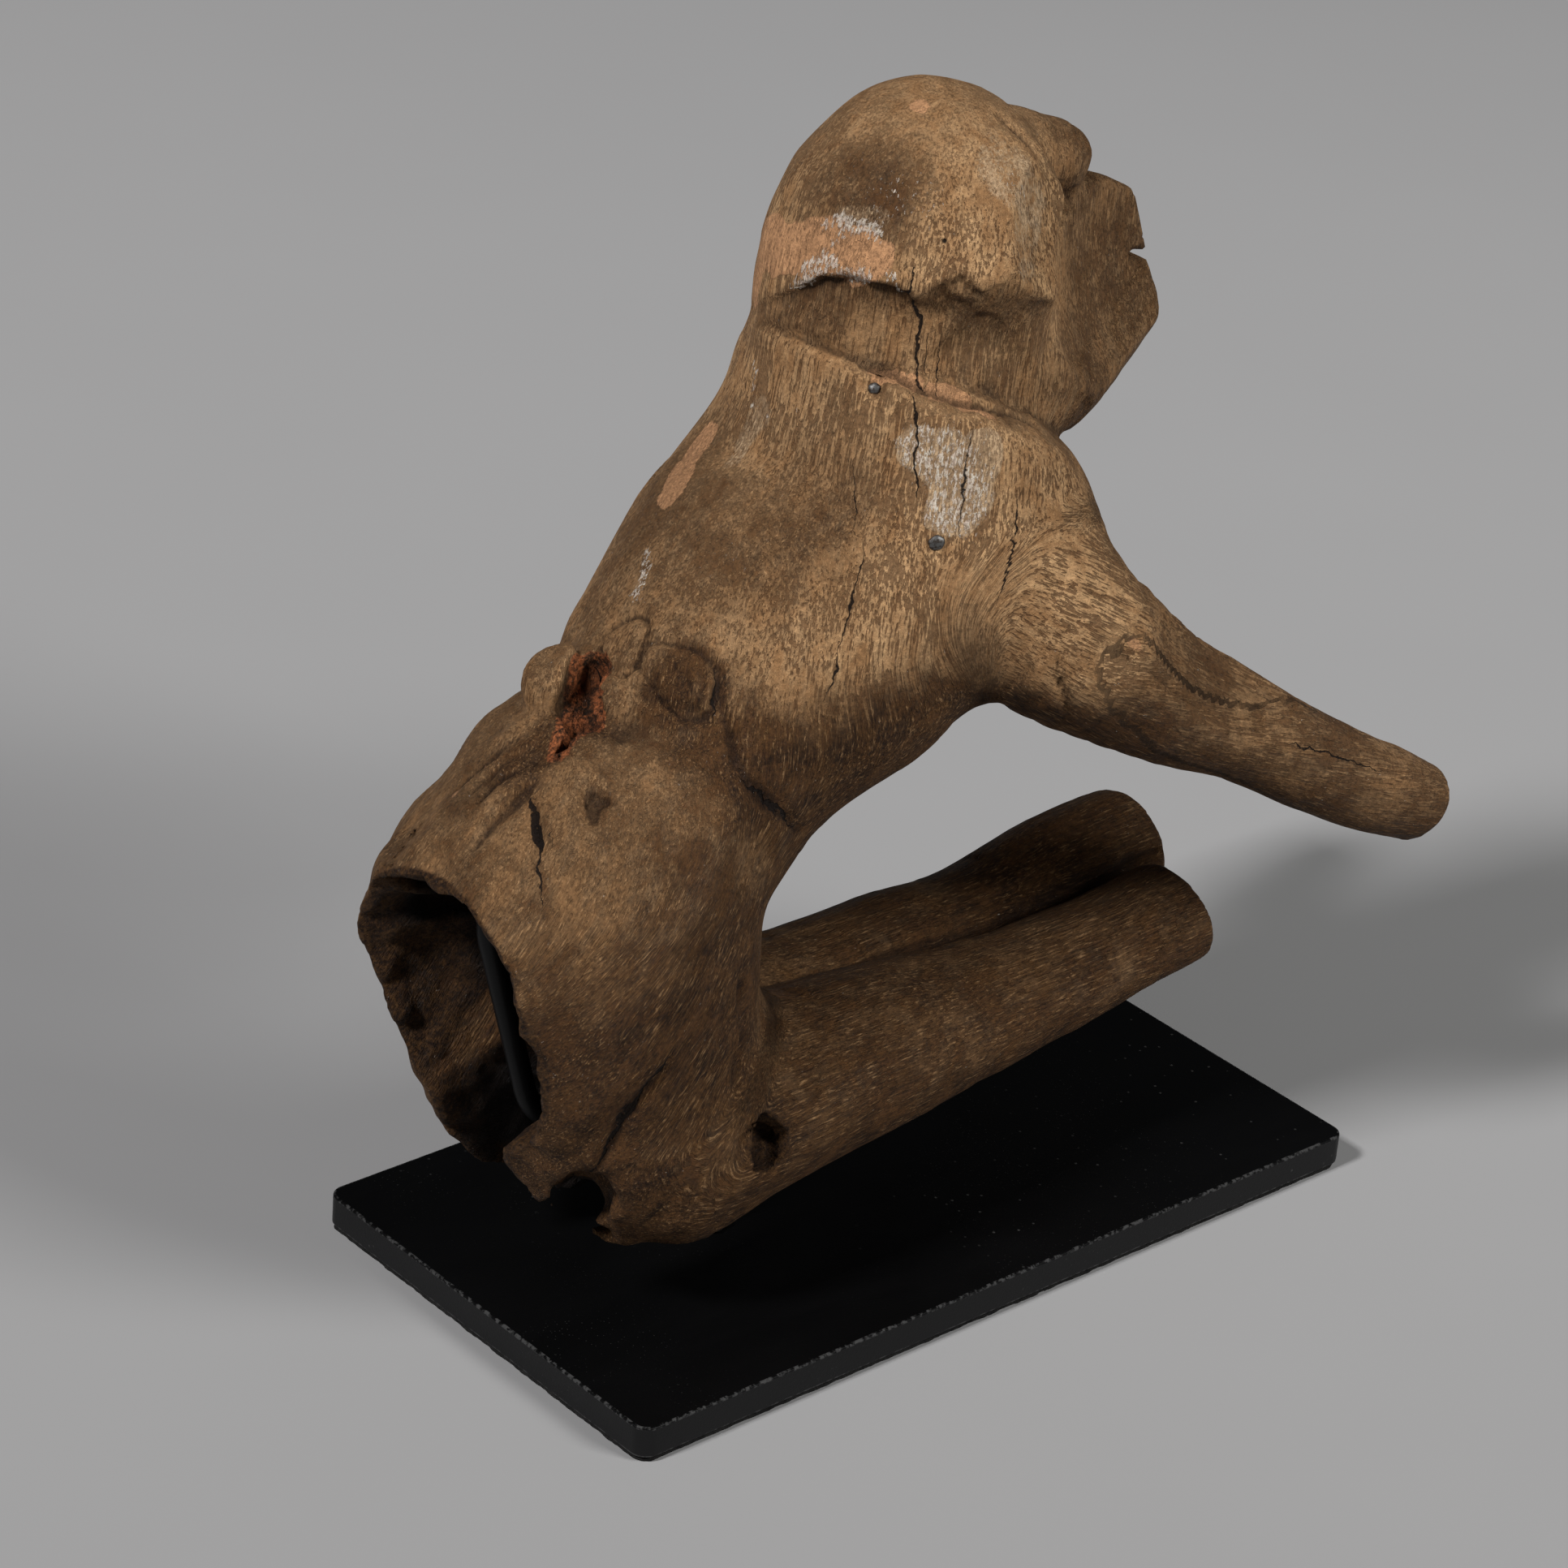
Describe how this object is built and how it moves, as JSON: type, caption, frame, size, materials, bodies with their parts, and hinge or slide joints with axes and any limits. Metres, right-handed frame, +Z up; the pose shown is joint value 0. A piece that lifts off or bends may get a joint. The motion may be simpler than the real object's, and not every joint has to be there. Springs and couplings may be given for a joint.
{
  "type": "carved wood figure on a plate stand",
  "caption": "Worn carved wood figure leaning forward on outstretched legs, arms reaching ahead, hips hollowed by rot, held by a bent steel rod on a flat black plate.",
  "frame": {"origin": "middle of the felt's underside, on the surface that the plate stands on", "axes": "+X is the way the figure faces, along the plate's long side; +Y is the figure's left; +Z is up"},
  "size_m": [0.1594, 0.0832, 0.1776],
  "materials": {
    "wood": "dry, weathered and cracked, darker and glossier toward the legs",
    "rod_steel": "satin black",
    "plate_steel": "satin black with a bright worn edge",
    "felt": "matt black felt",
    "nail_iron": "dark worn iron"
  },
  "bodies": {
    "root": {"carved_figure": "wood", "support_rod": "rod_steel", "base_plate": "plate_steel", "felt_pad": "felt", "nail_upper": "nail_iron", "nail_lower": "nail_iron"}
  },
  "joints": []
}
